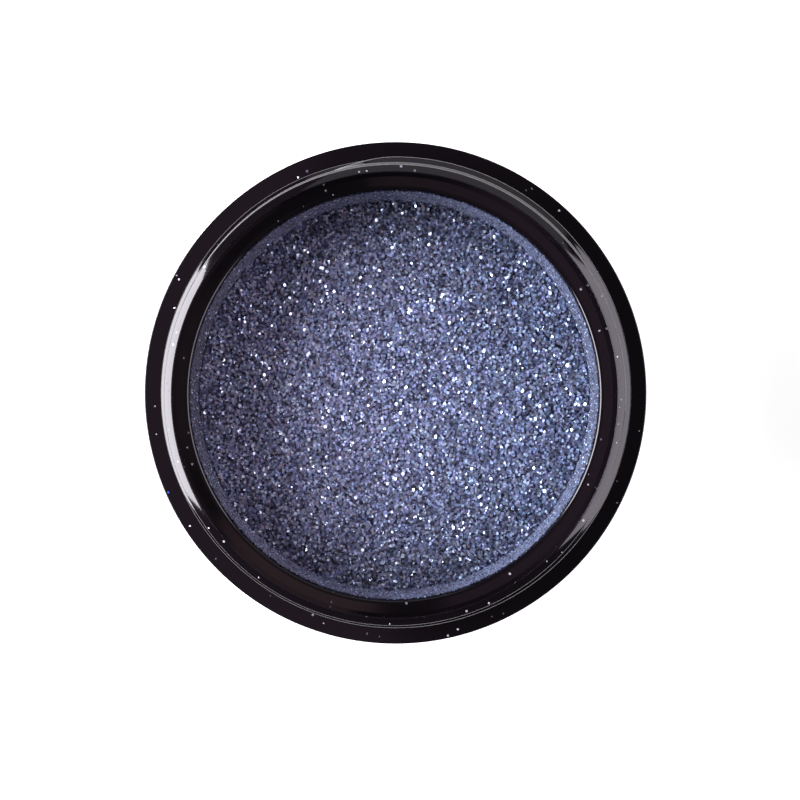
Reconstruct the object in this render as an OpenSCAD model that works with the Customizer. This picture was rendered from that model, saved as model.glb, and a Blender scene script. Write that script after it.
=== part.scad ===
// Screw-top pot of loose glitter eyeshadow, with its lid turned over beside it.
// Millimetres, +Z up. The origin is the centre of the pot's resting face.

/* [Pot] */
// Outer diameter of the pot and of its lid
pot_d = 34; // [32:0.5:38]
// Height of the flat shoulder above the table
shoulder_z = 10.5; // [9.5:0.5:12]
// Height of the threaded neck above the shoulder
neck_h = 5; // [4.5:0.5:6]
// Gap between the neck's wall and the pot's outside
neck_inset = 1.62; // [1.5:0.01:1.9]
// Thickness of the pot's side wall
shell_wall = 1.5; // [1.2:0.1:1.6]
// Thickness of the shoulder
shoulder_t = 1; // [0.8:0.1:1.2]
// Width of the lip at the mouth
lip_w = 0.54; // [0.4:0.02:0.7]

/* [Bowl] */
// Radius of the bowl's inner sphere
bowl_r = 15.6; // [15.2:0.1:16]
// Radius of the bowl's mouth, at the shelf inside the neck
bowl_mouth_r = 13.9; // [13.6:0.1:14]
// Height of the bowl's flat floor
floor_z = 2.6; // [2.4:0.1:3]
// Thickness of the bowl's wall
bowl_wall = 0.9; // [0.7:0.1:1]
// Height of the glitter's surface
fill_z = 9.3; // [7:0.1:9.8]
// How much the glitter's middle stands above its edge
fill_crown = 0.25; // [0.1:0.05:0.6]

/* [Thread] */
// Advance of the thread in one turn
pitch = 2.5; // [2:0.1:3]
// Radial height of the neck's thread
thread_depth = 0.42; // [0.3:0.02:0.5]
// Turns of thread on the neck
neck_turns = 1.25; // [1:0.05:1.4]
// Turns of thread in the lid
lid_turns = 1; // [0.8:0.05:1.1]
// Angle at which the neck's thread begins, at its top
thread_start = 110; // [0:1:359]

/* [Base] */
// Thickness of the disc that closes the underside
base_t = 0.8; // [0.6:0.1:1]
// Depth of the disc's face inside the foot ring
base_recess = 0.4; // [0.3:0.05:0.6]
// Diameter of the blank label
label_d = 22; // [16:1:28]
// Thickness of the blank label
label_t = 0.1; // [0.08:0.01:0.2]

/* [Lid] */
// Height of the lid
lid_h = 8.1; // [8:0.1:10]
// Thickness of the lid shell's side wall
lid_wall = 0.6; // [0.5:0.05:0.6]
// Thickness of the lid shell's top
lid_top_t = 1.1; // [1:0.1:1.4]
// Thickness of the liner
liner_t = 1; // [0.6:0.1:1.2]
// Distance from the pot's axis to the axis of the lid on the table
lid_x = 49; // [48:1:60]

/* [Hidden] */
$fn = 144;

pot_r = pot_d / 2;
mouth_z = shoulder_z + neck_h;
neck_r = pot_r - neck_inset;
fit_gap = 0.04;          // clearance of parts that are pressed or bonded together
edge_r = 0.12;           // rounding of the shoulder's outer edge
foot_r = 0.7;            // rounding of the foot's outer edge

// shell and base
shell_in_r = pot_r - shell_wall;
ledge_w = 0.4;           // ledge inside the foot, which the base disc seats against
disc_r = shell_in_r + ledge_w - fit_gap;
ledge_z = base_recess + base_t;

// neck and lip
lip_in_r = neck_r - lip_w;
lip_drop = 0.5;          // height over which the lip rounds off outwards
lip_back = 0.15;         // rounding of the lip's inner edge
flange_t = 1.05;
flange_r = shell_in_r - fit_gap;
flange_z = shoulder_z - shoulder_t - fit_gap;
neck_draft = 0.14;       // how much the neck's wall leans inwards below the lip
shelf_r = lip_in_r - neck_draft;
shelf_z = shoulder_z + 0.4;
shelf_fall = 0.12;       // fall of the shelf towards the bowl
shelf_edge_r = 0.2;      // rounding of the shelf's inner edge

// bowl, part of a sphere whose centre is on the axis
bowl_mouth_z = shoulder_z - 0.05;
bowl_cz = bowl_mouth_z + sqrt(pow(bowl_r, 2) - pow(bowl_mouth_r, 2));
outer_bowl_r = bowl_r + bowl_wall;
floor_under_z = floor_z - bowl_wall;
powder_gap = 0.02;

// thread ridges
ridge_root = 1;          // axial width at the wall
ridge_crest = 0.4;       // axial width at the crest
ridge_sink = 0.3;        // how far a ridge is sunk in the wall that carries it
neck_thread_z = mouth_z - 1.3;
lead = 12;               // degrees over which a ridge grows from the wall
ridge_step = 6;

// lid, drawn the right way up with its rim at z = 0
rim_gap = 0.1;           // rim above the shoulder when the lid is closed
lid_edge_r = 1;
lid_seat = mouth_z - shoulder_z - rim_gap;
insert_plate_z = lid_seat + liner_t + fit_gap;
shell_ceiling = lid_h - lid_top_t;
insert_top = shell_ceiling - fit_gap;
lid_shell_in_r = pot_r - lid_wall;
insert_r = lid_shell_in_r - fit_gap;
lid_clear = 0.1;         // radial clearance of the lid's wall over the neck's thread
insert_in_r = neck_r + thread_depth + lid_clear;
lid_crest_r = neck_r + lid_clear - 0.02;
liner_r = neck_r + 0.2;
rim_lead = 0.75;         // height of the lid's thread above its rim
closing_turn = 450;      // degrees from the first touch of the threads to closed
// the lid's ridge runs midway between the neck's when the lid is closed
lid_thread_z = rim_lead;
lid_thread_angle = thread_start
    - 360 * (neck_thread_z - pitch / 2 - shoulder_z - rim_gap - lid_thread_z) / pitch;

// Points of an elliptical arc
function arc(cx, cy, rx, ry, from, to, n = 12) =
    [for (i = [0:n]) let (a = from + (to - from) * i / n) [cx + rx * cos(a), cy + ry * sin(a)]];

// Angle on a sphere of radius r at which it reaches height z
function sphere_angle(r, z) = -asin((bowl_cz - z) / r);

// One cross-section of a ridge: two points inside the wall and two at the crest
function ridge_ring(wall_r, crest_r, sink_r, grown, a, z) =
    let (r = wall_r + (crest_r - wall_r) * grown)
    [for (p = [[sink_r, -ridge_root / 2], [r, -ridge_crest / 2],
               [r, ridge_crest / 2], [sink_r, ridge_root / 2]])
        [p[0] * cos(a), p[0] * sin(a), z + p[1]]];

// A helical ridge on a round wall, rising anticlockwise from (from_angle, from_z)
module ridge(wall_r, crest_r, sink_r, from_angle, from_z, turns) {
    n = ceil(360 * turns / ridge_step);
    swept = 360 * turns;
    rings = [for (i = [0:n]) let (t = swept * i / n)
        ridge_ring(wall_r, crest_r, sink_r, max(0.04, min(1, t / lead, (swept - t) / lead)),
                   from_angle + t, from_z + pitch * t / 360)];
    points = [for (ring = rings) each ring];
    flip = sink_r < wall_r;
    caps = [[0, 1, 2], [0, 2, 3], [4 * n, 4 * n + 2, 4 * n + 1], [4 * n, 4 * n + 3, 4 * n + 2]];
    sides = [for (i = [0:n - 1], k = [0:3])
        let (a = 4 * i + k, b = 4 * i + (k + 1) % 4)
        each [[a, a + 4, b + 4], [a, b + 4, b]]];
    polyhedron(points, [for (f = concat(caps, sides)) flip ? [f[2], f[1], f[0]] : f]);
}

// Side wall, shoulder and foot ring in one moulding
module outer_shell() {
    color([0.03, 0.03, 0.035])
    rotate_extrude()
    polygon(concat(
        [[shell_in_r + ledge_w, 0]],
        arc(pot_r - foot_r, foot_r, foot_r, foot_r, -90, 0),
        arc(pot_r - edge_r, shoulder_z - edge_r, edge_r, edge_r, 0, 90),
        [[neck_r + fit_gap, shoulder_z],
         [neck_r + fit_gap, shoulder_z - shoulder_t],
         [shell_in_r, shoulder_z - shoulder_t],
         [shell_in_r, ledge_z],
         [shell_in_r + ledge_w, ledge_z]]));
}

// Bowl with the lip and the threaded neck, which stands up through the shoulder
module inner_cup() {
    in_low = sphere_angle(bowl_r, floor_z);
    in_high = sphere_angle(bowl_r, bowl_mouth_z);
    out_low = sphere_angle(outer_bowl_r, floor_under_z);
    out_high = sphere_angle(outer_bowl_r, flange_z - flange_t);
    color([0.03, 0.03, 0.035]) {
        rotate_extrude()
        polygon(concat(
            [[0, floor_under_z]],
            arc(0, bowl_cz, outer_bowl_r, outer_bowl_r, out_low, out_high, 16),
            [[flange_r, flange_z - flange_t],
             [flange_r, flange_z],
             [neck_r, flange_z]],
            arc(lip_in_r + lip_back, mouth_z - lip_drop, lip_w - lip_back, lip_drop, 0, 90),
            arc(lip_in_r + lip_back, mouth_z - lip_back, lip_back, lip_back, 100, 180, 6),
            [[shelf_r, shelf_z]],
            arc(bowl_mouth_r + shelf_edge_r, shelf_z - shelf_fall - shelf_edge_r,
                shelf_edge_r, shelf_edge_r, 80, 150, 5),
            arc(0, bowl_cz, bowl_r, bowl_r, in_high, in_low, 16),
            [[0, floor_z]]));
        ridge(neck_r, neck_r + thread_depth, neck_r - ridge_sink,
              thread_start - 360 * neck_turns, neck_thread_z - pitch * neck_turns, neck_turns);
    }
}

// Round plug pressed into the foot from below
module base_disc() {
    color([0.05, 0.05, 0.055])
    translate([0, 0, base_recess])
    cylinder(h = base_t - fit_gap, r = disc_r);
}

// Blank paper label on the base disc
module base_label() {
    color([0.86, 0.86, 0.84])
    translate([0, 0, base_recess - label_t])
    cylinder(h = label_t, d = label_d);
}

// Loose glitter, slightly higher in the middle
module glitter_bed() {
    r = bowl_r - powder_gap;
    edge_r = sqrt(pow(r, 2) - pow(bowl_cz - fill_z, 2));
    low = sphere_angle(r, floor_z + powder_gap);
    high = sphere_angle(r, fill_z);
    color([0.36, 0.42, 0.55])
    rotate_extrude()
    polygon(concat(
        [[0, floor_z + powder_gap]],
        arc(0, bowl_cz, r, r, low, high, 16),
        [for (i = [1:8]) let (a = 90 * i / 8) [edge_r * cos(a), fill_z + fill_crown * sin(a)]]));
}

// Places a lid part, drawn the right way up, upside-down on the table beside the pot
module on_table() {
    translate([lid_x, 0, lid_h])
    rotate([0, 180, 0])
    children();
}

// Outer skin of the lid
module lid_shell() {
    color([0.03, 0.03, 0.035])
    on_table()
    rotate_extrude()
    polygon(concat(
        [[lid_shell_in_r, 0], [pot_r - edge_r / 2, 0], [pot_r, edge_r / 2]],
        arc(pot_r - lid_edge_r, lid_h - lid_edge_r, lid_edge_r, lid_edge_r, 0, 90),
        [[0, lid_h], [0, shell_ceiling], [lid_shell_in_r, shell_ceiling]]));
}

// Threaded inner part of the lid
module lid_insert() {
    color([0.07, 0.07, 0.075])
    on_table()
    rotate([0, 0, closing_turn]) {
        rotate_extrude()
        polygon([[insert_in_r, 0.15], [insert_r, 0.15], [insert_r, insert_top], [0, insert_top],
                 [0, insert_plate_z], [insert_in_r, insert_plate_z]]);
        ridge(insert_in_r, lid_crest_r, insert_in_r + ridge_sink,
              lid_thread_angle, lid_thread_z, lid_turns);
    }
}

// Foam disc that seals against the lip
module lid_liner() {
    color([0.92, 0.92, 0.9])
    on_table()
    translate([0, 0, lid_seat])
    cylinder(h = liner_t, r = liner_r);
}

outer_shell();
inner_cup();
base_disc();
base_label();
glitter_bed();
lid_shell();
lid_insert();
lid_liner();
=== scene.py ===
"""Open screw-top pot of loose glitter eyeshadow, with its lid lying upside-down beside it."""

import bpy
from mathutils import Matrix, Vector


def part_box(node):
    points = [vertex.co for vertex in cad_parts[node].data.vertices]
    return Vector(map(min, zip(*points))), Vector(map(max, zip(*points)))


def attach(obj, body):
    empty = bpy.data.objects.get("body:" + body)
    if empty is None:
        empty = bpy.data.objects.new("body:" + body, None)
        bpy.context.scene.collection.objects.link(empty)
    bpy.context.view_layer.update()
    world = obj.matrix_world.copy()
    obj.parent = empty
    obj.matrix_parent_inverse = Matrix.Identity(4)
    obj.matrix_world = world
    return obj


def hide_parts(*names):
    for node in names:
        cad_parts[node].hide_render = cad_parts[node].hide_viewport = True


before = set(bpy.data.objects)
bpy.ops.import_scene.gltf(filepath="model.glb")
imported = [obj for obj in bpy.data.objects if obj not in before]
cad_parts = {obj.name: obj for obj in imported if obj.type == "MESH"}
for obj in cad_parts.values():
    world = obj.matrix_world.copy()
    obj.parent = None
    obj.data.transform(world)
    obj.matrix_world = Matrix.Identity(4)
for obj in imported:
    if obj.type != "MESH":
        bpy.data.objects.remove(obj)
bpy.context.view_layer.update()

import math

import bmesh
import bpy
import numpy as np
from bpy.props import FloatProperty, FloatVectorProperty, IntProperty, PointerProperty
from mathutils import Matrix, Vector

bl_info = {
    "name": "Glitter Eyeshadow Pot",
    "version": (1, 0, 0),
    "blender": (4, 5, 0),
    "location": "3D View > Sidebar > Pot",
    "description": "Builds a screw-top pot of loose glitter with its lid, and a plain studio",
    "category": "Add Mesh",
}

MM = 0.001

# Places taken from the frame: the pot stands on the origin, and the lid lies beside it.
SHELL_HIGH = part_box("outer_shell")[1]
CUP_LOW, CUP_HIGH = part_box("inner_cup")
DISC_LOW, DISC_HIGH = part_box("base_disc")
LABEL_LOW, LABEL_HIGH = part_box("base_label")
BED_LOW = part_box("glitter_bed")[0]
LID_LOW, LID_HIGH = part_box("lid_shell")
INSERT_LOW, INSERT_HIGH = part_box("lid_insert")
LINER_LOW, LINER_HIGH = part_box("lid_liner")

POT_R = float(SHELL_HIGH[0])
SHOULDER_Z = float(SHELL_HIGH[2])
MOUTH_Z = float(CUP_HIGH[2])
THREAD_R = float(CUP_HIGH[0])
LID_X = float(LID_LOW[0] + LID_HIGH[0]) / 2
LID_TOP = float(LID_HIGH[2])

# Heights inside the pot.
FLOOR_Z = 2.6 * MM
FILL_Z = 9.3 * MM
BOWL_TOP_Z = SHOULDER_Z - 0.05 * MM
SHELF_Z = SHOULDER_Z + 0.4 * MM

# The bowl and the lip were moulded a little off the thread's centre: x and y of each.
BOWL_SHIFT = (-0.08 * MM, -0.15 * MM)
LIP_SHIFT = (-0.045 * MM, -0.15 * MM)

# Where the threads end at their tops, as (angle in degrees, height), and the ridge's widths.
NECK_THREAD_TOP = (110.0, MOUTH_Z - 1.3 * MM)
LID_THREAD_TOP = (210.4, LID_TOP - 0.75 * MM)
RIDGE_ROOT, RIDGE_CREST = 1.1 * MM, 0.36 * MM


# ---------------------------------------------------------------- sizes and colours

class PotSizes(bpy.types.PropertyGroup):
    """Sizes of the pot's mouldings"""

    neck_radius: FloatProperty(
        name="Neck Radius", description="Radius of the neck's wall under its thread",
        default=15.38 * MM, unit="LENGTH")
    lip_radius: FloatProperty(
        name="Lip Radius", description="Radius of the lip's crest, at its inner side",
        default=14.885 * MM, unit="LENGTH")
    bowl_radius: FloatProperty(
        name="Bowl Radius", description="Radius of the sphere that the bowl is part of",
        default=15.6 * MM, unit="LENGTH")
    bowl_mouth: FloatProperty(
        name="Bowl Mouth", description="Radius of the bowl where the neck's wall begins",
        default=13.9 * MM, unit="LENGTH")
    pitch: FloatProperty(
        name="Thread Pitch", description="Advance of the thread in one turn",
        default=2.5 * MM, unit="LENGTH")
    neck_turns: FloatProperty(
        name="Neck Turns", description="Turns of thread on the neck", default=1.25)
    lid_turns: FloatProperty(
        name="Lid Turns", description="Turns of thread in the lid", default=1.0)
    steps: IntProperty(
        name="Steps", description="Facets round a turned piece", default=240, min=24, max=512)


class GlitterSizes(bpy.types.PropertyGroup):
    """Amount and size of the glitter"""

    flake: FloatProperty(
        name="Flake Size", description="Width of a typical flake from corner to corner",
        default=0.228 * MM, unit="LENGTH")
    thickness: FloatProperty(
        name="Flake Thickness", description="Thickness of a flake",
        default=0.012 * MM, unit="LENGTH")
    count: IntProperty(
        name="Flakes in a Layer", description="Number of flakes in each layer of the bed",
        default=8000, min=100, max=9000)
    layers: IntProperty(
        name="Layers", description="Layers of loose flakes on the bed", default=4, min=1, max=6)
    wall_flakes: IntProperty(
        name="Wall Flakes", description="Fine flakes that cling to the bowl's wall",
        default=6500, min=0, max=9000)
    strays: IntProperty(
        name="Stray Flakes", description="Flakes that lie on the shoulder, the lip and the shelf",
        default=64, min=0, max=400)
    seed: IntProperty(name="Seed", description="Seed of every random draw", default=7)


class PotColours(bpy.types.PropertyGroup):
    """Colours of the mouldings, the powder and the lid's liner"""

    plastic: FloatVectorProperty(
        name="Plastic", description="Glossy black of the mouldings", subtype="COLOR", size=4,
        default=(0.0036, 0.0022, 0.0036, 1), min=0, max=1)
    dust: FloatVectorProperty(
        name="Dust", description="Film of powder on the bowl's wall", subtype="COLOR", size=4,
        default=(0.215, 0.238, 0.375, 1), min=0, max=1)
    powder: FloatVectorProperty(
        name="Powder", description="Dark flakes of the glitter", subtype="COLOR", size=4,
        default=(0.40, 0.455, 0.80, 1), min=0, max=1)
    silver: FloatVectorProperty(
        name="Silver", description="Bright flakes of the glitter", subtype="COLOR", size=4,
        default=(0.72, 0.80, 0.95, 1), min=0, max=1)
    liner: FloatVectorProperty(
        name="Liner", description="Foam disc in the lid", subtype="COLOR", size=4,
        default=(0.80, 0.80, 0.77, 1), min=0, max=1)
    label: FloatVectorProperty(
        name="Label", description="Blank paper label", subtype="COLOR", size=4,
        default=(0.78, 0.76, 0.72, 1), min=0, max=1)


class StudioSettings(bpy.types.PropertyGroup):
    """Camera and lights"""

    camera_height: FloatProperty(
        name="Camera Height", description="Height of the camera above the table",
        default=310.5 * MM, unit="LENGTH")
    lens: FloatProperty(name="Lens", description="Focal length", default=199.4, unit="CAMERA")
    key: FloatProperty(
        name="Key Light", description="Radiance of the large panel on the left", default=16.5)
    fill: FloatProperty(
        name="Fill Light", description="Radiance of the panel on the right", default=4)
    back: FloatProperty(
        name="Back Light", description="Radiance of the panel behind", default=0.6)
    ceiling: FloatProperty(
        name="Ceiling Light", description="Radiance of the dim ceiling over the left half",
        default=0.2)


GROUPS = {"pot_sizes": PotSizes, "glitter_sizes": GlitterSizes,
          "pot_colours": PotColours, "studio_settings": StudioSettings}


# ---------------------------------------------------------------- outlines

def arc(centre, radii, start, end, count):
    """Points of an elliptical arc in the upright half-plane, as (radius, height)."""
    angles = [math.radians(start + (end - start) * i / count) for i in range(count + 1)]
    return [(centre[0] + radii[0] * math.cos(a), centre[1] + radii[1] * math.sin(a))
            for a in angles]


def rounded(corner, radius, start, count, turn=90):
    """Points that round a corner of an outline, from one angle on by a quarter turn."""
    middle = math.radians(start + 45)
    centre = (corner[0] - math.copysign(radius, math.cos(middle)),
              corner[1] - math.copysign(radius, math.sin(middle)))
    return arc(centre, (radius, radius), start, start + turn, count)


def bowl_arc(radius, centre_z, low_z, high_z, count=40):
    """Points up the bowl's sphere, from one height to another."""
    low, high = (math.degrees(math.asin((z - centre_z) / radius)) for z in (low_z, high_z))
    return arc((0, centre_z), (radius, radius), low, high, count)


def lip_outline(neck, crest):
    """Points over the lip from the neck to the crest, and the height where they begin."""
    inner, outer = math.radians(24), math.radians(38)
    edge, corner = 0.09 * MM, 0.03 * MM
    face_in = (crest + corner * math.sin(inner), MOUTH_Z - corner * (1 - math.cos(inner)))
    face_out = neck - edge + edge * math.sin(outer)
    bend = (face_out - face_in[0]) / (math.sin(outer) - math.sin(inner))
    centre = (face_in[0] - bend * math.sin(inner), face_in[1] - bend * math.cos(inner))
    edge_z = centre[1] + (bend - edge) * math.cos(outer)
    points = (arc((neck - edge, edge_z), (edge, edge), 0, 52, 6)
              + arc(centre, (bend, bend), 53, 65, 6)
              + arc((crest, MOUTH_Z - corner), (corner, corner), 66, 178, 6)
              + [(crest - corner, MOUTH_Z - 0.07 * MM)])
    return points, edge_z


def lip_height(radius, crest):
    """Height of the lip's upper face at a radius."""
    out = radius - crest
    return MOUTH_Z - 0.445 * out - 300 * out * out


def bowl_centre(sizes):
    """Height of the centre of the bowl's sphere."""
    return BOWL_TOP_Z + math.sqrt(sizes.bowl_radius ** 2 - sizes.bowl_mouth ** 2)


def bowl_radius_at(sizes, z):
    """Radius of the bowl's inside at a height."""
    return np.sqrt(np.maximum(sizes.bowl_radius ** 2 - (bowl_centre(sizes) - z) ** 2, 0))


# ---------------------------------------------------------------- modelling

def deselect():
    """Leaves object mode with nothing selected."""
    if bpy.context.object and bpy.context.object.mode != "OBJECT":
        bpy.ops.object.mode_set(mode="OBJECT")
    bpy.ops.object.select_all(action="DESELECT")


def start_piece(name, add, **settings):
    """Adds a primitive and opens it in edit mode with all of it selected."""
    deselect()
    add(**settings)
    piece = bpy.context.object
    piece.name = piece.data.name = name
    bpy.ops.object.mode_set(mode="EDIT")
    bpy.ops.mesh.select_all(action="SELECT")
    return piece


def tidy_mesh(piece, gap=1e-7):
    """Welds doubled points and turns the faces outwards."""
    bpy.ops.object.mode_set(mode="EDIT")
    bpy.ops.mesh.select_all(action="SELECT")
    bpy.ops.mesh.remove_doubles(threshold=gap)
    bpy.ops.mesh.normals_make_consistent(inside=False)
    bpy.ops.object.mode_set(mode="OBJECT")


def smooth(piece, degrees=32):
    """Shades a piece smooth, apart from edges sharper than an angle."""
    deselect()
    piece.select_set(True)
    bpy.context.view_layer.objects.active = piece
    bpy.ops.object.shade_smooth_by_angle(angle=math.radians(degrees))


def braced(outline, closed, longest=0.6 * MM, brace=0.02 * MM):
    """Adds a point close to both ends of every long line, which keeps its shading flat."""
    points = []
    ends = outline[1:] + (outline[:1] if closed else [])
    for start, end in zip(outline, ends):
        points.append(start)
        length = math.dist(start, end)
        if length > longest:
            for part in (brace / length, 1 - brace / length):
                points.append(tuple(a + (b - a) * part for a, b in zip(start, end)))
    return points if closed else points + [outline[-1]]


def draw_outline(name, outline, closed, axis_x=0.0):
    """Draws an outline in the upright plane point by point, and leaves it selected."""
    piece = start_piece(name, bpy.ops.mesh.primitive_plane_add, size=MM)
    bpy.ops.mesh.merge(type="CENTER")
    points = [Vector((axis_x + r, 0, z)) for r, z in outline]
    bpy.ops.transform.translate(value=points[0])
    for last, point in zip(points, points[1:] + (points[:1] if closed else [])):
        bpy.ops.mesh.extrude_vertices_move(TRANSFORM_OT_translate={"value": point - last})
    bpy.ops.mesh.select_all(action="SELECT")
    return piece


def turned(name, outline, steps, axis_x=0.0):
    """A closed solid of revolution: an outline spun about its axis."""
    closed = min(r for r, z in outline) > 1e-6
    piece = draw_outline(name, braced(outline, closed), closed, axis_x)
    bpy.ops.mesh.spin(steps=steps, angle=2 * math.pi, use_auto_merge=True,
                      center=(axis_x, 0, 0), axis=(0, 0, 1))
    tidy_mesh(piece)
    return piece


def eased(share):
    """Smoothly from 0 to 1."""
    return share * share * (3 - 2 * share)


def ridge_outline(hidden, crest_r, back, count=14):
    """Outline across a thread's ridge: its flanks rise softly from just under the wall."""
    flank = [(hidden + (crest_r - hidden) * eased(i / count),
              (-RIDGE_ROOT + (RIDGE_ROOT - RIDGE_CREST) * i / count) / 2)
             for i in range(count + 1)]
    return ([(back, -RIDGE_ROOT / 2)] + flank + [(r, -z) for r, z in flank[::-1]]
            + [(back, RIDGE_ROOT / 2)])


def add_thread(piece, sizes, wall, crest_r, top, turns, axis_x=0.0, lead=20.0, dive=6.0):
    """Sweeps a ridge up a helix to its top end, tapers both ends and joins it to the wall.

    Its flanks rise from hidden, just under the wall, and back lies deeper in the wall. Over
    the first and last degrees it rises to its full height (lead) out of the wall (dive).
    """
    top_angle, top_z = top
    side = math.copysign(1.0, crest_r - wall)
    hidden, back, sunk = wall - side * 0.006 * MM, wall - side * 0.06 * MM, side * 0.04 * MM
    ridge = draw_outline("thread", ridge_outline(hidden, crest_r, back), True)
    tidy_mesh(ridge)
    sweep = ridge.modifiers.new("thread", "SCREW")
    sweep.angle = 2 * math.pi * turns
    sweep.screw_offset = sizes.pitch * turns
    sweep.steps = sweep.render_steps = int(sizes.steps * turns)
    bpy.ops.object.modifier_apply(modifier="thread")
    bpy.ops.object.mode_set(mode="EDIT")
    bpy.ops.mesh.select_all(action="SELECT")
    bpy.ops.mesh.fill_holes(sides=0)
    mesh, co = read_points(ridge)
    radius, angle = np.hypot(co[:, 0], co[:, 1]), np.arctan2(co[:, 1], co[:, 0]) / (2 * math.pi)
    along = 360.0 * (angle + np.round(co[:, 2] / sizes.pitch - angle))
    to_end = np.minimum(along, 360.0 * turns - along)
    grown = eased(np.clip(to_end / lead, 0, 1))
    raised = side * (radius - hidden) > 0
    radius = np.where(raised, hidden + (radius - hidden) * grown, radius)
    radius -= sunk * np.clip(1 - to_end / dive, 0, 1) ** 2
    heading = np.radians(along + top_angle - 360.0 * turns)
    co[:, 0], co[:, 1] = axis_x + radius * np.cos(heading), radius * np.sin(heading)
    co[:, 2] += top_z - sizes.pitch * turns
    write_points(mesh, co)
    tidy_mesh(ridge)
    deselect()
    ridge.select_set(True)
    piece.select_set(True)
    bpy.context.view_layer.objects.active = piece
    bpy.ops.object.join()


def read_points(piece):
    """The mesh of a piece and its points, as rows of x, y and z."""
    if piece.mode != "OBJECT":
        bpy.ops.object.mode_set(mode="OBJECT")
    co = np.empty(len(piece.data.vertices) * 3)
    piece.data.vertices.foreach_get("co", co)
    return piece.data, co.reshape(-1, 3)


def write_points(mesh, co):
    """Moves the points of a mesh."""
    mesh.vertices.foreach_set("co", co.ravel())
    mesh.update()


def shift_bowl(piece, sizes, lip_z, inner_r):
    """Moves what lies inside a radius, and what stands above the neck's wall, off the centre."""
    mesh, co = read_points(piece)
    radius, z = np.hypot(co[:, 0], co[:, 1]), co[:, 2]
    high, bend_z, bend = z > SHOULDER_Z + 1.0 * MM, lip_z - 0.25 * MM, 0.24 * MM
    inside = (radius < inner_r) & (z > BOWL_TOP_Z - 0.01 * MM)
    below = (radius < inner_r) & (radius < bowl_radius_at(sizes, z) + 0.1 * MM)
    share = np.where(inside | below, 1.0, eased(np.clip((z - bend_z) / bend, 0, 1)))
    for axis in (0, 1):
        co[:, axis] += np.where(high, LIP_SHIFT[axis], BOWL_SHIFT[axis]) * share
    write_points(mesh, co)


def place(piece, body, slot, finish, *nodes):
    """Gives a closed piece its material, its body and the nodes that it stands for."""
    mesh = bmesh.new()
    mesh.from_mesh(piece.data)
    open_edges = sum(not edge.is_manifold for edge in mesh.edges)
    mesh.free()
    if open_edges:
        raise RuntimeError(f"{piece.name} has {open_edges} open edges")
    piece.data.materials.clear()
    piece.data.materials.append(finish)
    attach(piece, body)
    if nodes:
        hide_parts(*nodes)


# ---------------------------------------------------------------- shader maths

class Shade:
    """A socket in a material, which takes part in Python expressions."""

    def __init__(self, finish, socket):
        self.finish, self.socket = finish, socket

    def math(self, operation, *values):
        return self.finish.node("ShaderNodeMath", {"operation": operation}, values)

    def __add__(self, other):
        return self.math("ADD", self, other)

    __radd__ = __add__

    def __sub__(self, other):
        return self.math("SUBTRACT", self, other)

    def __rsub__(self, other):
        return self.math("SUBTRACT", other, self)

    def __mul__(self, other):
        return self.math("MULTIPLY", self, other)

    __rmul__ = __mul__

    def __pow__(self, other):
        return self.math("POWER", self, other)

    def __gt__(self, other):
        return self.math("GREATER_THAN", self, other)

    def ramp(self, low, high, to_low=0.0, to_high=1.0):
        """Smoothly from to_low at low to to_high at high."""
        return self.finish.node(
            "ShaderNodeMapRange", {"interpolation_type": "SMOOTHSTEP"},
            [self, low, high, to_low, to_high])


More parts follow.
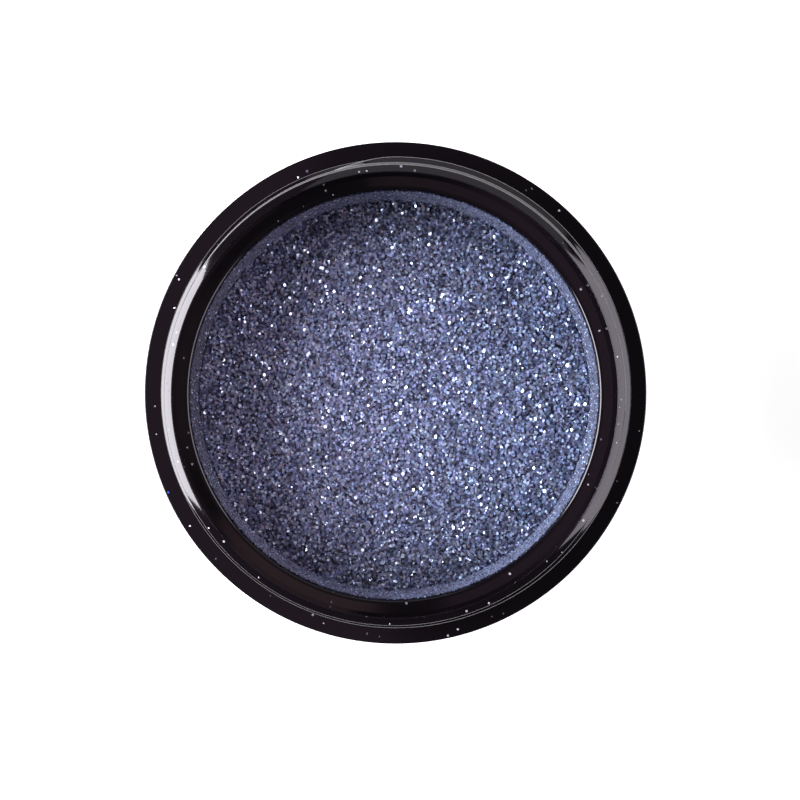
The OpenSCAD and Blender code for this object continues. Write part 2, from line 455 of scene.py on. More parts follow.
class Finish:
    """A material whose nodes are made one call at a time."""

    def __init__(self, name, **fixed):
        self.material = bpy.data.materials.new(name)
        self.material.use_nodes = True
        self.tree = self.material.node_tree
        self.tree.nodes.clear()
        output = self.tree.nodes.new("ShaderNodeOutputMaterial")
        self.surface = self.tree.nodes.new("ShaderNodeBsdfPrincipled")
        self.tree.links.new(self.surface.outputs[0], output.inputs["Surface"])
        self.feed(**fixed)

    def node(self, kind, settings=None, inputs=(), output=0):
        """Adds a node, sets it up, fills its sockets and gives one of its outputs."""
        made = self.tree.nodes.new(kind)
        for key, value in (settings or {}).items():
            setattr(made, key, value)
        pairs = inputs.items() if isinstance(inputs, dict) else enumerate(inputs)
        for key, value in pairs:
            self.fill(made.inputs[key], value)
        return Shade(self, made.outputs[output])

    def fill(self, socket, value):
        """Links a socket to a Shade, or sets its value."""
        if isinstance(value, Shade):
            self.tree.links.new(value.socket, socket)
        else:
            socket.default_value = value

    def feed(self, **inputs):
        """Links the shader's own sockets, or sets their values."""
        for key, value in inputs.items():
            name = key.replace("_", " ").title().replace("Ior", "IOR")
            self.fill(self.surface.inputs[name], value)

    def place(self):
        """The point on the piece, in metres."""
        return self.node("ShaderNodeTexCoord", output="Object")

    def moved(self, vector, shift):
        """The vector plus another."""
        return self.node("ShaderNodeVectorMath", {"operation": "ADD"}, [vector, shift])

    def scaled(self, vector, by):
        """The vector multiplied by three factors, one per axis."""
        return self.node("ShaderNodeVectorMath", {"operation": "MULTIPLY"}, [vector, by])

    def parts(self, vector):
        """The vector's x, y and z."""
        split = self.tree.nodes.new("ShaderNodeSeparateXYZ")
        self.tree.links.new(vector.socket, split.inputs[0])
        return [Shade(self, out) for out in split.outputs]

    def joined(self, x, y, z):
        """A vector made from its x, y and z."""
        return self.node("ShaderNodeCombineXYZ", None, [x, y, z])

    def noise(self, vector, scale, detail, rough):
        """Soft noise, mostly between 0.3 and 0.7."""
        return self.node("ShaderNodeTexNoise", None,
                         {"Vector": vector, "Scale": scale, "Detail": detail, "Roughness": rough})

    def cells(self, vector, scale, output="Distance"):
        """Voronoi cells: the distance to a cell's centre, or its Color or Position."""
        return self.node("ShaderNodeTexVoronoi", None, {"Vector": vector, "Scale": scale}, output)

    def mix(self, factor, a, b, blend="MIX"):
        """A colour between a and b, or a blended with b."""
        return self.node("ShaderNodeMix", {"data_type": "RGBA", "blend_type": blend},
                         {0: factor, 6: a, 7: b}, output=2)

    def attribute(self, name):
        """A number that the mesh holds at each point."""
        return self.node("ShaderNodeAttribute", {"attribute_name": name}, output="Fac")

    def bump(self, height, distance, strength=1.0):
        """The normal of a relief whose height of 1 stands a distance in metres high."""
        return self.node("ShaderNodeBump", None,
                         {"Height": height, "Distance": distance, "Strength": strength})

    def cooler_right(self, colour):
        """Tints a colour warmer towards -X and cooler towards +X."""
        x = self.parts(self.place())[0]
        tint = self.mix(x.ramp(-12 * MM, 13 * MM), (1.03, 0.95, 0.94, 1), (0.97, 1.07, 1.09, 1))
        return self.mix(1.0, colour, tint, "MULTIPLY")

    def round_about(self, axis_x):
        """(radius, angle, height) about an upright axis, in millimetres and radians."""
        x, y, z = self.parts(self.scaled(self.moved(self.place(), (-axis_x, 0, 0)), (1000,) * 3))
        radius = (x * x + y * y) ** 0.5
        return radius, x.math("ARCTAN2", y, x), z


# ---------------------------------------------------------------- materials

def black_plastic(name, colours, axis_x=0.0, roughness=0.07, extra=None):
    """Glossy black moulding: turning marks, hair scratches, haze and a little dust."""
    finish = Finish(name, specular_ior_level=0.5, ior=1.5)
    place = finish.place()
    speck_scale = 2600.0
    radius, angle, height = finish.round_about(axis_x)
    ring = finish.joined(radius * 9.0, angle * 1.3, height * 9.0)
    marks = finish.noise(ring, 1.0, 3.0, 0.6)
    hair = finish.noise(finish.scaled(place, (9000, 1500, 5000)), 1.0, 2.0, 0.7)
    haze = finish.noise(place, 260.0, 4.0, 0.6)
    specks = finish.cells(place, speck_scale)
    picked = finish.cells(place, speck_scale, "Color")
    chosen = finish.parts(picked)[0] > 0.985
    dust = specks.ramp(0.10, 0.22, 1.0, 0.0) * chosen
    rough = roughness + 0.05 * haze.ramp(0.45, 0.75) + 0.05 * marks.ramp(0.6, 0.8) + 0.4 * dust
    colour = finish.mix(dust * 0.5, tuple(colours.plastic), (0.16, 0.17, 0.2, 1))
    relief = marks * 0.3 + hair * 0.25 + dust * 2.0
    normal = finish.bump(relief, 0.6e-6)
    if extra:
        colour, rough, normal = extra(finish, colour, rough, normal)
    finish.feed(base_color=colour, roughness=rough, normal=normal)
    return finish.material


# The film of powder in the bowl, in millimetres: its upper edge, and the radius it lies within.
FILM_EDGE, FILM_R = 10.32, 14.5


def painted_film_light(x, y):
    """Painted light and shade on the bowl's film of powder at a place in millimetres: lighter
    towards +X, behind and in front, and darker towards -X.
    """
    return 0.41 + 0.0075 * x - 0.008 * y + 0.0033 * y * y


def powder_film(colours):
    """Adds the film of fine powder that clings to the bowl's wall above the glitter, with painted
    light and shade across it.
    """
    def add(finish, colour, rough, normal):
        place = finish.place()
        radius, angle, height = finish.round_about(0.0)
        x, y, z = finish.parts(finish.scaled(place, (1000,) * 3))
        streak = finish.noise(finish.joined(angle * 110.0, height * 2.2, 0.0), 1.0, 3.0, 0.65)
        fine = finish.noise(place, 11000.0, 3.0, 0.65)
        edge = FILM_EDGE - 0.001 * x + 0.002 * y + 0.16 * (streak - 0.5)
        inside = (FILM_R - radius) > 0.0
        cover = (edge - height).ramp(-0.05, 0.14) * inside
        cover = cover * streak.ramp(0.34, 0.66, 0.6, 1.05) * fine.ramp(0.38, 0.6, 0.5, 1.1)
        # Painted light and shade: the film goes towards black towards -X and stays lighter towards
        # +X, behind and in front.
        film_light = painted_film_light(x, y)
        dust = finish.mix(film_light, (0.01, 0.01, 0.014, 1), finish.cooler_right(tuple(colours.dust)))
        tinted = finish.mix(cover * 0.9, colour, dust)
        grain = finish.bump(fine * cover, 8e-6)
        return tinted, rough + cover.ramp(0.0, 0.5) * 0.75, grain
    return add


def powder_bed(colours):
    """Packed flakes under the loose ones: small cells, each tilted its own way."""
    finish = Finish("glitter packed", metallic=0.6)
    place, scale = finish.place(), 6200.0
    tilt = finish.moved(finish.cells(place, scale, "Color"), (-0.5, -0.5, -0.5))
    across = finish.node("ShaderNodeVectorMath", {"operation": "SUBTRACT"},
                         [place, finish.cells(place, scale, "Position")])
    slope = finish.node("ShaderNodeVectorMath", {"operation": "DOT_PRODUCT"},
                        [tilt, across], output="Value")
    shade = finish.parts(finish.cells(finish.moved(place, (0.3, 0.1, 0.2)), scale, "Color"))[1]
    colour = finish.mix(shade, (0.008, 0.008, 0.014, 1), tuple(colours.powder))
    finish.feed(base_color=colour, roughness=0.45 + 0.2 * shade,
                normal=finish.bump(slope, 0.9))
    return finish.material


def glitter_flake(name, colours, bright=0.76):
    """Metallised film: dull slate flakes, softly glinting ones and silver ones."""
    finish = Finish(name)
    tone = finish.attribute("tone")
    hue = finish.attribute("hue")
    silver = tone.ramp(bright - 0.02, bright + 0.02)
    glint = tone.ramp(bright - 0.14, bright - 0.10) * (1.0 - silver)
    cool = finish.mix(hue.ramp(0.2, 0.9), tuple(colours.silver), (0.55, 0.68, 0.95, 1))
    slate = finish.mix(hue.ramp(0.45, 0.9), tuple(colours.powder), (0.31, 0.45, 0.72, 1))
    slate = finish.mix(hue.ramp(0.3, 0.05), slate, (0.42, 0.37, 0.60, 1))
    dull = finish.mix(tone.ramp(0.03, 0.62), (0.035, 0.035, 0.068, 1), slate)
    dull = finish.mix(glint * 0.75, dull, (0.62, 0.76, 0.98, 1))
    # The shade attribute is painted shade: it darkens the flakes towards black, the silver and
    # glinting ones less.
    shade = finish.attribute("shade")
    lit = shade + (1.0 - shade) * (0.62 * silver + 0.5 * glint)
    flake = finish.cooler_right(finish.mix(silver, dull, cool))
    shaded = finish.mix(lit, (0, 0, 0, 1), flake)
    finish.feed(base_color=shaded, metallic=0.45 + 0.5 * silver,
                roughness=0.52 - 0.12 * glint - 0.24 * silver)
    return finish.material


def stray_flake(colours):
    """Single flakes seen against black: silver, and now and then blue, yellow or red."""
    finish = Finish("stray flakes")
    hue = finish.attribute("hue")
    tone = finish.attribute("tone")
    colour = finish.mix(tone, (0.10, 0.09, 0.13, 1), (0.9, 0.88, 0.92, 1))
    for start, tint in ((0.95, (0.03, 0.12, 0.75, 1)), (0.968, (0.55, 0.5, 0.04, 1)),
                        (0.986, (0.6, 0.09, 0.09, 1))):
        colour = finish.mix(hue > start, colour, tint)
    finish.feed(base_color=colour, metallic=0.2 * tone, roughness=0.55 - 0.2 * tone)
    return finish.material


def satin_plastic(colours):
    """Fine-grained moulded face of the base disc."""
    finish = Finish("base satin")
    grain = finish.noise(finish.place(), 14000.0, 3.0, 0.6)
    haze = finish.noise(finish.place(), 300.0, 3.0, 0.5)
    finish.feed(base_color=finish.mix(haze, tuple(colours.plastic), (0.006, 0.006, 0.007, 1)),
                roughness=0.42 + 0.12 * haze, normal=finish.bump(grain, 3e-6))
    return finish.material


def label_paper(colours):
    """Uncoated paper with fibres and a faintly soiled edge."""
    finish = Finish("label paper", specular_ior_level=0.2)
    fibres = finish.noise(finish.scaled(finish.place(), (9000, 2600, 2600)), 1.0, 4.0, 0.65)
    blotch = finish.noise(finish.place(), 220.0, 3.0, 0.5)
    radius = finish.round_about(0.0)[0]
    soiled = radius.ramp(9.2, 11.0) * blotch * 0.5
    tone = finish.mix(fibres * 0.35, tuple(colours.label), (0.62, 0.58, 0.5, 1))
    finish.feed(base_color=finish.mix(soiled, tone, (0.35, 0.33, 0.3, 1)),
                roughness=0.8 + 0.1 * fibres, normal=finish.bump(fibres, 12e-6))
    return finish.material


def liner_foam(colours):
    """Closed-cell foam under a satin skin, with the ring that the lip has pressed in it."""
    finish = Finish("liner foam", specular_ior_level=0.35)
    place = finish.place()
    cells = finish.cells(place, 3300.0)
    wide = finish.noise(place, 260.0, 3.0, 0.5)
    radius, angle = finish.round_about(LID_X)[:2]
    worn = radius.ramp(14.7, 14.95) * radius.ramp(15.3, 15.5, 1.0, 0.0)
    grey = finish.noise(finish.joined(angle * 7.0, radius * 2.0, 0.0), 1.0, 3.0, 0.6)
    tone = finish.mix(worn * grey.ramp(0.35, 0.7) * 0.5, tuple(colours.liner), tuple(colours.dust))
    finish.feed(base_color=finish.mix(wide * 0.25, tone, (0.7, 0.7, 0.68, 1)),
                roughness=0.5 + 0.15 * wide, normal=finish.bump(cells, 10e-6, 0.6))
    return finish.material


def pale_floor():
    """Plain white table top that glows a little, like a lit photographic table."""
    finish = Finish("pale floor", specular_ior_level=0.1, emission_strength=0.88)
    grain = finish.noise(finish.place(), 30.0, 2.0, 0.5)
    finish.feed(base_color=finish.mix(grain * 0.04, (0.8, 0.8, 0.8, 1), (0.76, 0.76, 0.76, 1)),
                emission_color=finish.mix(grain * 0.02, (1, 1, 1, 1), (0.97, 0.97, 0.97, 1)),
                roughness=0.8 + 0.05 * grain)
    return finish.material


# ---------------------------------------------------------------- pieces of the pot

class POT_OT_outer_shell(bpy.types.Operator):
    """Side wall, shoulder and foot ring of the pot"""

    bl_idname = "pot.outer_shell"
    bl_label = "Outer Shell"

    def execute(self, context):
        sizes, colours = context.scene.pot_sizes, context.scene.pot_colours
        inside, ledge, bore = 15.5 * MM, 15.9 * MM, sizes.neck_radius + 0.05 * MM
        under, foot_z = SHOULDER_Z - 1.0 * MM, 1.2 * MM
        outline = (
            rounded((ledge, 0), 0.1 * MM, 180, 3)
            + rounded((POT_R, 0), 0.7 * MM, -90, 10)
            + rounded((POT_R, SHOULDER_Z), 0.07 * MM, 0, 5)
            + rounded((bore, SHOULDER_Z), 0.08 * MM, 90, 4)
            + [(bore, under), (inside + 0.2 * MM, under)]
            + [(inside, under - 0.2 * MM), (inside, foot_z), (ledge, foot_z)])
        piece = turned("outer_shell_moulding", outline, sizes.steps)
        smooth(piece)
        place(piece, "pot", "shell_plastic", black_plastic("shell gloss", colours), "outer_shell")
        return {"FINISHED"}


class POT_OT_inner_cup(bpy.types.Operator):
    """Bowl, lip and threaded neck of the pot"""

    bl_idname = "pot.inner_cup"
    bl_label = "Inner Cup"

    def execute(self, context):
        sizes, colours = context.scene.pot_sizes, context.scene.pot_colours
        centre_z = bowl_centre(sizes)
        neck, crest = sizes.neck_radius, sizes.lip_radius
        under, shelf_r = float(CUP_LOW[2]), 14.79 * MM
        flange_z = SHOULDER_Z - 1.04 * MM
        flange_low = flange_z - 1.05 * MM
        lip, neck_top = lip_outline(neck, crest)
        # Close points under the lip, where shift_bowl bends the neck's wall over.
        bend = [(neck, neck_top - (0.27 - 0.03 * i) * MM) for i in range(9)]
        rim = (sizes.bowl_mouth + 0.21 * MM, SHELF_Z - 0.36 * MM)
        outline = (
            [(0, under)]
            + bowl_arc(sizes.bowl_radius + 0.9 * MM, centre_z, under, flange_low)
            + [(15.46 * MM, flange_low), (15.46 * MM, flange_z)]
            + [(neck, flange_z)] + bend + lip
            + [(shelf_r, SHELF_Z)]
            + arc(rim, (0.25 * MM,) * 2, 80, 152, 10)
            + bowl_arc(sizes.bowl_radius, centre_z, FLOOR_Z, BOWL_TOP_Z)[::-1]
            + [(0, FLOOR_Z)])
        piece = turned("inner_cup_moulding", outline, sizes.steps)
        shift_bowl(piece, sizes, neck_top, neck - 0.3 * MM)
        add_thread(piece, sizes, neck, THREAD_R, NECK_THREAD_TOP, sizes.neck_turns)
        smooth(piece)
        finish = black_plastic("cup gloss", colours, extra=powder_film(colours))
        place(piece, "pot", "cup_plastic", finish, "inner_cup")
        return {"FINISHED"}


class POT_OT_base(bpy.types.Operator):
    """Base disc and blank label under the pot"""

    bl_idname = "pot.base"
    bl_label = "Base Disc and Label"

    def execute(self, context):
        sizes, colours = context.scene.pot_sizes, context.scene.pot_colours
        low, high = float(DISC_LOW[2]), float(DISC_HIGH[2])
        r = float(DISC_HIGH[0])
        outline = (
            [(0, low + 0.06 * MM), (0.7 * MM, low + 0.06 * MM), (0.8 * MM, low)]
            + [(13.6 * MM, low)]
            + arc((13.8 * MM, low), (0.2 * MM, 0.12 * MM), 180, 0, 6)
            + [(14.0 * MM, low)]
            + rounded((r, low), 0.15 * MM, -90, 4)
            + [(r, high), (0, high)])
        piece = turned("base_disc_moulding", outline, sizes.steps // 2)
        smooth(piece)
        place(piece, "pot", "base_plastic", satin_plastic(colours), "base_disc")
        low, high, r = float(LABEL_LOW[2]), float(LABEL_HIGH[2]), float(LABEL_HIGH[0])
        outline = [(0, low), (r - 0.05 * MM, low), (r, low + 0.03 * MM), (r, high), (0, high)]
        label = turned("base_label_paper", outline, sizes.steps // 2)
        smooth(label)
        place(label, "pot", "label_paper", label_paper(colours), "base_label")
        return {"FINISHED"}


# ---------------------------------------------------------------- glitter

def surface_height(x, y, edge_r):
    """Height of the glitter's surface: a low crown with soft hollows where it has settled."""
    r = np.hypot(x, y) / edge_r
    wave = (0.05 * np.sin(x * 900 + 1.3) * np.cos(y * 700 - 0.4)
            + 0.03 * np.sin(x * 2100 + y * 1700) + 0.02 * np.cos(x * 3900 - y * 3300))
    crown = 0.22 * (1 - r * r) * MM
    return FILL_Z + crown + wave * MM * np.clip(1.2 - r, 0, 1)


def painted_shade_and_mottle(x, y, edge_r):
    """Painted shade of the glitter, darker towards the edge where the bowl's wall would shade it:
    most behind and in front, less towards -X and least towards +X; and mottled in tone where it
    has been stirred.
    """
    across, along = x / edge_r, y / edge_r
    # Painted shade towards the edge; the mottle below is the glitter's own tone.
    dull = (np.where(along > 0, 0.88, 0.78) * np.abs(along) ** 3
            + np.where(across > 0, 0.03, 0.24) * across ** 2)
    mottle = (np.sin(x * 2300 + 1.7 * np.sin(y * 1500)) * np.cos(y * 2700 + 1.1 * np.sin(x * 1900))
              + 0.6 * np.sin(x * 5100 + y * 3700 + 0.7) * np.cos(y * 4700 - x * 2900))
    return np.clip((1 - dull) * (0.9 + 0.085 * mottle), 0.1, 1)


def flake_template(sizes):
    """Corners and faces of one flake, modelled once as a thin six-sided plate."""
    piece = start_piece("flake_plate", bpy.ops.mesh.primitive_cylinder_add, vertices=6,
                        radius=sizes.flake / 2, depth=sizes.thickness)
    bpy.ops.object.mode_set(mode="OBJECT")
    corners = np.array([v.co[:] for v in piece.data.vertices])
    faces = [tuple(p.vertices) for p in piece.data.polygons]
    bpy.data.objects.remove(piece)
    return corners, faces


def turns(tilt, heading, spin):
    """Rotation matrices: spun about the upright, then tilted towards a heading."""
    def about_z(a):
        c, s, o, i = np.cos(a), np.sin(a), np.zeros_like(a), np.ones_like(a)
        return np.stack([c, -s, o, s, c, o, o, o, i], -1).reshape(-1, 3, 3)
    c, s, o, i = np.cos(tilt), np.sin(tilt), np.zeros_like(tilt), np.ones_like(tilt)
    lean = np.stack([c, o, s, o, i, o, -s, o, c], -1).reshape(-1, 3, 3)
    return about_z(heading) @ lean @ about_z(spin - heading)


def scatter(name, template, centres, matrices, scales, tones, hues, shades=None):
    """One mesh of many flakes, each a closed plate with its own tone and hue."""
    corners, faces = template
    count, size = len(centres), len(corners)
    points = np.einsum("nij,kj->nki", matrices, corners) * scales[:, None, None]
    points = (points + centres[:, None, :]).reshape(-1, 3)
    mesh = bpy.data.meshes.new(name)
    all_faces = [tuple(i * size + k for k in f) for i in range(count) for f in faces]
    mesh.from_pydata(points.tolist(), [], all_faces)
    shades = np.ones(count) if shades is None else shades
    for key, values in (("tone", tones), ("hue", hues), ("shade", shades)):
        layer = mesh.attributes.new(key, "FLOAT", "POINT")
        layer.data.foreach_set("value", np.repeat(values, size).astype(np.float32))
    mesh.update()
    piece = bpy.data.objects.new(name, mesh)
    bpy.context.collection.objects.link(piece)
    return piece


class POT_OT_glitter_bed(bpy.types.Operator):
    """Packed glitter that fills the bowl, under the loose flakes"""

    bl_idname = "pot.glitter_bed"
    bl_label = "Glitter Bed"

    def execute(self, context):
        sizes, colours = context.scene.pot_sizes, context.scene.pot_colours
        centre_z, r = bowl_centre(sizes), sizes.bowl_radius - 0.02 * MM
        low = float(BED_LOW[2])
        edge_r = math.sqrt(r * r - (centre_z - FILL_Z) ** 2)
        rings = 110
        top = [(edge_r * (1 - i / rings), FILL_Z) for i in range(1, rings)]
        outline = [(0, low)] + bowl_arc(r, centre_z, low, FILL_Z) + top + [(0, FILL_Z)]
        piece = turned("glitter_bed_packed", outline, sizes.steps)
        mesh, co = read_points(piece)
        top = ((co[:, 2] > FILL_Z - 0.001 * MM)
               & (np.hypot(co[:, 0], co[:, 1]) < edge_r - 0.02 * MM))
        rng = np.random.default_rng(context.scene.glitter_sizes.seed)
        lift = surface_height(co[:, 0], co[:, 1], edge_r) - FILL_Z
        grain = rng.normal(0, 0.018 * MM, len(co))
        co[:, 2] += np.where(top, lift + grain, 0)
        write_points(mesh, co)
        shift_bowl(piece, sizes, MOUTH_Z, POT_R)
        smooth(piece, 60)
        place(piece, "pot", "glitter", powder_bed(colours), "glitter_bed")
        return {"FINISHED"}


class POT_OT_loose_flakes(bpy.types.Operator):
    """Loose flakes that lie on the glitter's surface, in layers"""

    bl_idname = "pot.loose_flakes"
    bl_label = "Loose Flakes"

    def execute(self, context):
        scene = context.scene
        sizes, glitter = scene.pot_sizes, scene.glitter_sizes
        edge_r = float(bowl_radius_at(sizes, FILL_Z)) - 0.08 * MM
        lowest, step, jitter = 0.01 * MM, 0.03 * MM, 0.05 * MM
        template = flake_template(glitter)
        finish = glitter_flake("glitter flakes", scene.pot_colours)
        for layer in range(glitter.layers):
            rng = np.random.default_rng(glitter.seed + 10 * layer)
            n = glitter.count
            radius = edge_r * np.sqrt(rng.random(n))
            angle = rng.random(n) * 2 * math.pi
            x, y = radius * np.cos(angle), radius * np.sin(angle)
            z = surface_height(x, y, edge_r) + lowest + step * layer
            z += rng.random(n) * jitter
            tilt = np.radians(np.abs(rng.normal(0, 17, n)) + (rng.random(n) < 0.12) * 25)
            matrices = turns(tilt, rng.random(n) * 2 * math.pi, rng.random(n) * 2 * math.pi)
            scales = rng.uniform(0.62, 1.12, n)
            centres = np.stack([x + BOWL_SHIFT[0], y + BOWL_SHIFT[1], z], -1)
            # Each flake carries the glitter's painted shade and mottle as its shade.
            piece = scatter(f"glitter_flakes_{layer + 1}", template, centres,
                            matrices, scales, rng.random(n), rng.random(n),
                            painted_shade_and_mottle(x, y, edge_r))
            place(piece, "pot", "glitter", finish)
        return {"FINISHED"}


class POT_OT_wall_flakes(bpy.types.Operator):
    """Fine flakes that cling to the bowl's wall above the glitter"""

    bl_idname = "pot.wall_flakes"
    bl_label = "Wall Flakes"

    def execute(self, context):
        scene = context.scene
        sizes, glitter = scene.pot_sizes, scene.glitter_sizes
        rng = np.random.default_rng(glitter.seed + 55)
        n, ball, centre_z = glitter.wall_flakes, sizes.bowl_radius, bowl_centre(sizes)
        lowest, band, gap = FILL_Z - 0.1 * MM, 1.15 * MM, 0.015 * MM
        angle = rng.random(n) * 2 * math.pi
        z = lowest + band * rng.random(n) ** 1.5
        lean = np.arccos((centre_z - z) / ball)
        radius = (ball - gap) * np.sin(lean)
        x, y = radius * np.cos(angle), radius * np.sin(angle)
        centres = np.stack([x + BOWL_SHIFT[0], y + BOWL_SHIFT[1], z], -1)
        heading = angle + math.pi + rng.normal(0, 0.15, n)
        matrices = turns(lean + rng.normal(0, 0.16, n), heading, rng.random(n) * 2 * math.pi)
        scales = rng.uniform(0.28, 0.62, n)
        # Each wall flake's shade is a random tone times the painted light and shade of the film.
        piece = scatter("wall_flakes", flake_template(glitter), centres, matrices, scales,
                        rng.random(n) * 0.86, rng.random(n),
                        rng.uniform(0.1, 0.75, n) * painted_film_light(x / MM, y / MM) / 0.6)
        place(piece, "pot", "glitter", glitter_flake("wall flakes", scene.pot_colours, 0.8))
        return {"FINISHED"}


class POT_OT_stray_flakes(bpy.types.Operator):
    """Stray flakes on the shoulder, the lip and the shelf"""

    bl_idname = "pot.stray_flakes"
    bl_label = "Stray Flakes"

    def execute(self, context):
        scene = context.scene
        sizes, glitter = scene.pot_sizes, scene.glitter_sizes
        rng = np.random.default_rng(glitter.seed + 99)
        template = flake_template(glitter)
        finish = stray_flake(scene.pot_colours)
        n = glitter.strays
        # The radii in millimetres between which they lie, and the height of the surface there.
        spots = [(15.92, 16.85, lambda r: SHOULDER_Z),
                 (14.98, 15.3, lambda r: lip_height(r, sizes.lip_radius)),
                 (14.05, 14.7, lambda r: SHOULDER_Z + 0.28 * MM + (r - 14.0 * MM) * 0.18)]
        pick = rng.choice(3, n, p=(0.24, 0.5, 0.26))
        on_lip = pick == 1
        angle = rng.random(n) * 2 * math.pi
        radius = np.array([rng.uniform(*spots[k][:2]) for k in pick]) * MM
        z = np.array([spots[k][2](r) for k, r in zip(pick, radius)]) + 0.018 * MM
        shift = np.array([(0, 0), LIP_SHIFT, BOWL_SHIFT])[pick]
        centres = np.stack([radius * np.cos(angle) + shift[:, 0],
                            radius * np.sin(angle) + shift[:, 1], z], -1)
        tilt = np.radians(np.abs(rng.normal(0, 12, n)) + on_lip * 14)
        heading = np.where(on_lip, angle, rng.random(n) * 2 * math.pi)
        matrices = turns(tilt, heading, rng.random(n) * 2 * math.pi)
        piece = scatter("stray_flakes", template, centres, matrices, rng.uniform(0.35, 0.85, n),
                        rng.random(n) ** 1.3, rng.random(n))
        place(piece, "pot", "glitter", finish)
        return {"FINISHED"}


# ---------------------------------------------------------------- pieces of the lid

class POT_OT_lid(bpy.types.Operator):
    """Lid shell, threaded insert and liner, lying upside-down on the table"""

    bl_idname = "pot.lid"
    bl_label = "Lid"

    def execute(self, context):
        sizes, colours = context.scene.pot_sizes, context.scene.pot_colours
        inside, ceiling = 16.4 * MM, 1.1 * MM
        outline = (
            [(0, 0)]
            + rounded((POT_R, 0), 1.0 * MM, -90, 12)
            + rounded((POT_R, LID_TOP), 0.15 * MM, 0, 5)
            + rounded((inside, LID_TOP), 0.1 * MM, 90, 4)
            + [(inside, ceiling), (0, ceiling)])
        shell = turned("lid_shell_moulding", outline, sizes.steps, LID_X)
        smooth(shell)
        place(shell, "lid", "lid_plastic", black_plastic("lid gloss", colours, LID_X), "lid_shell")

        wall, outside, plate = 15.9 * MM, float(INSERT_HIGH[0]) - LID_X, 2.16 * MM
        low, high = float(INSERT_LOW[2]), float(INSERT_HIGH[2])
        outline = (
            [(0, low), (outside, low)]
            + [(outside, high - 0.06 * MM), (outside - 0.06 * MM, high)]
            + rounded((wall, high), 0.1 * MM, 90, 3, turn=80)
            + [(wall, plate), (0, plate)])
        insert = turned("lid_insert_moulding", outline, sizes.steps, LID_X)
        add_thread(insert, sizes, wall, 15.46 * MM, LID_THREAD_TOP, sizes.lid_turns, LID_X)
        smooth(insert)
        finish = black_plastic("insert gloss", colours, LID_X, roughness=0.2)
        place(insert, "lid", "insert_plastic", finish, "lid_insert")

        low, high = float(LINER_LOW[2]), float(LINER_HIGH[2])
        r, print_r = float(LINER_HIGH[0]) - LID_X, 15.16 * MM
        outline = (
            [(0, low), (r - 0.1 * MM, low), (r, low + 0.1 * MM)]
            + rounded((r, high), 0.12 * MM, 0, 4)
            + [(print_r + 0.2 * MM, high)]
            + arc((print_r, high), (0.2 * MM, 0.07 * MM), 0, -180, 8)
            + [(print_r - 0.26 * MM, high), (0, high)])
        liner = turned("lid_liner_foam", outline, sizes.steps, LID_X)
        smooth(liner)
        place(liner, "lid_seal", "liner_foam", liner_foam(colours), "lid_liner")
        return {"FINISHED"}


# ---------------------------------------------------------------- studio

def panel(name, azimuth, zenith, size, radiance, colour=(1, 1, 1), roll=0.0, upright=False):
    """A soft rectangular light that faces the pot and that the camera doesn't see.

    Angles are in degrees, the azimuth clockwise from +X as the camera sees it.
    """
    turn, lean, distance = math.radians(-azimuth), math.radians(zenith), 350 * MM
    centre = Vector((math.sin(lean) * math.cos(turn), math.sin(lean) * math.sin(turn),
                     math.cos(lean))) * distance
    facing = Vector((-centre.x, -centre.y, 0)) if upright else -centre
    deselect()
    bpy.ops.object.light_add(type="AREA", location=centre)
    lamp = bpy.context.object
    lamp.name = lamp.data.name = name
    turned_to = facing.to_track_quat("-Z", "Y").to_matrix()
    lamp.rotation_euler = (turned_to @ Matrix.Rotation(math.radians(roll), 3, "Z")).to_euler()
    lamp.data.shape = "RECTANGLE"
    lamp.data.size, lamp.data.size_y = size
    lamp.data.energy = radiance * math.pi * size[0] * size[1]
    lamp.data.color = colour
    lamp.visible_camera = False


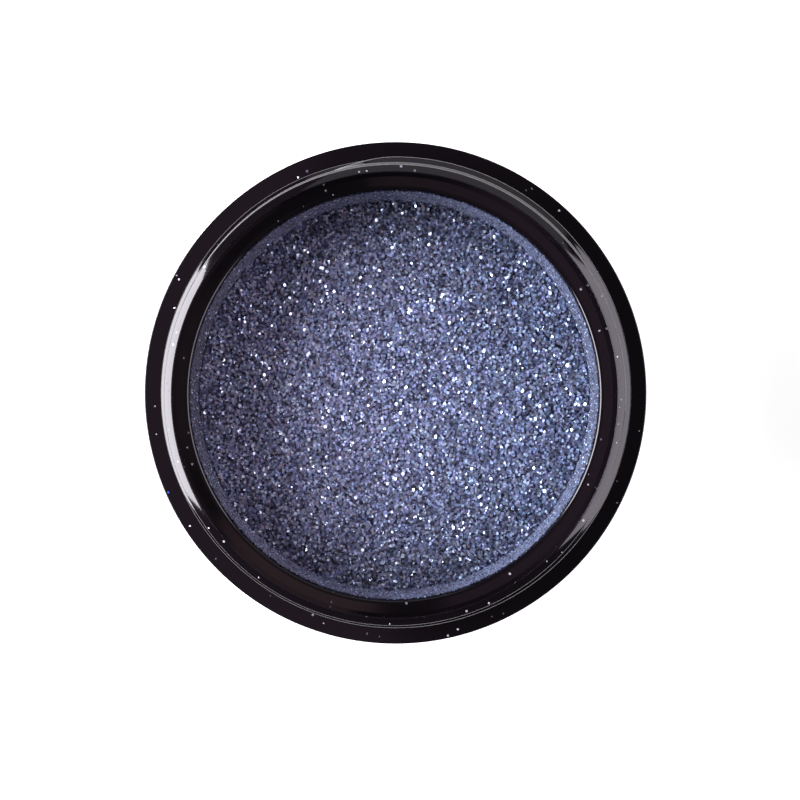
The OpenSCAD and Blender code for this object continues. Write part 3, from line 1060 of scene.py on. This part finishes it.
class POT_OT_studio(bpy.types.Operator):
    """Pale floor, soft lights and the camera above the pot"""

    bl_idname = "pot.studio"
    bl_label = "Studio"

    def execute(self, context):
        studio = context.scene.studio_settings
        deselect()
        # Just under the feet, so that no two faces lie in one plane.
        bpy.ops.mesh.primitive_plane_add(size=6, location=(0, 0, -0.02 * MM))
        floor = context.object
        floor.name = "floor"
        floor.data.materials.append(pale_floor())
        panel("key panel", 183, 62.5, (0.366, 0.275), studio.key, (0.97, 0.935, 1.02),
              roll=-11, upright=True)
        panel("fill panel", 0.5, 62, (0.46, 0.245), studio.fill, (0.98, 0.90, 1.02), roll=5)
        panel("back panel", 284.5, 62, (0.425, 0.23), studio.back, (0.95, 0.92, 1.0))
        panel("ceiling left", 170, 9.5, (0.24, 0.105), studio.ceiling, (0.98, 0.60, 0.88))
        panel("ceiling right", 5, 21, (0.34, 0.09), studio.ceiling * 0.8, (1.0, 0.62, 0.80))
        panel("ceiling corner", 299, 20, (0.08, 0.08), studio.ceiling * 2.4, (1.0, 0.6, 0.7))
        world = bpy.data.worlds.new("dim room")
        world.use_nodes = True
        background = world.node_tree.nodes["Background"]
        background.inputs["Color"].default_value = (0.9, 0.93, 1.0, 1)
        background.inputs["Strength"].default_value = 0.06
        context.scene.world = world
        context.scene.view_settings.view_transform = "Standard"
        aside = (0.305 * MM, -0.481 * MM)
        bpy.ops.object.camera_add(location=(*aside, studio.camera_height))
        camera = context.object
        camera.data.lens = studio.lens
        camera.data.sensor_width = 36
        camera.data.clip_start = 0.01
        context.scene.camera = camera
        return {"FINISHED"}


OPERATORS = [POT_OT_outer_shell, POT_OT_inner_cup, POT_OT_base, POT_OT_glitter_bed,
             POT_OT_loose_flakes, POT_OT_wall_flakes, POT_OT_stray_flakes, POT_OT_lid,
             POT_OT_studio]


class POT_PT_panel(bpy.types.Panel):
    """Sizes, colours and the steps that build the pot"""

    bl_idname = "POT_PT_panel"
    bl_label = "Glitter Pot"
    bl_space_type = "VIEW_3D"
    bl_region_type = "UI"
    bl_category = "Pot"

    def draw(self, context):
        for key in GROUPS:
            group = getattr(context.scene, key)
            box = self.layout.box()
            for name in group.bl_rna.properties.keys():
                if name not in {"rna_type", "name"}:
                    box.prop(group, name)
        for operator in OPERATORS:
            self.layout.operator(operator.bl_idname)


def register():
    for cls in (*GROUPS.values(), *OPERATORS, POT_PT_panel):
        bpy.utils.register_class(cls)
    for key, group in GROUPS.items():
        setattr(bpy.types.Scene, key, PointerProperty(type=group))


def unregister():
    for key in GROUPS:
        delattr(bpy.types.Scene, key)
    for cls in reversed((*GROUPS.values(), *OPERATORS, POT_PT_panel)):
        bpy.utils.unregister_class(cls)


def main():
    """Builds the pot, the lid and the studio."""
    register()
    for operator in OPERATORS:
        getattr(bpy.ops.pot, operator.bl_idname.partition(".")[2])()


if __name__ == "__main__":
    main()
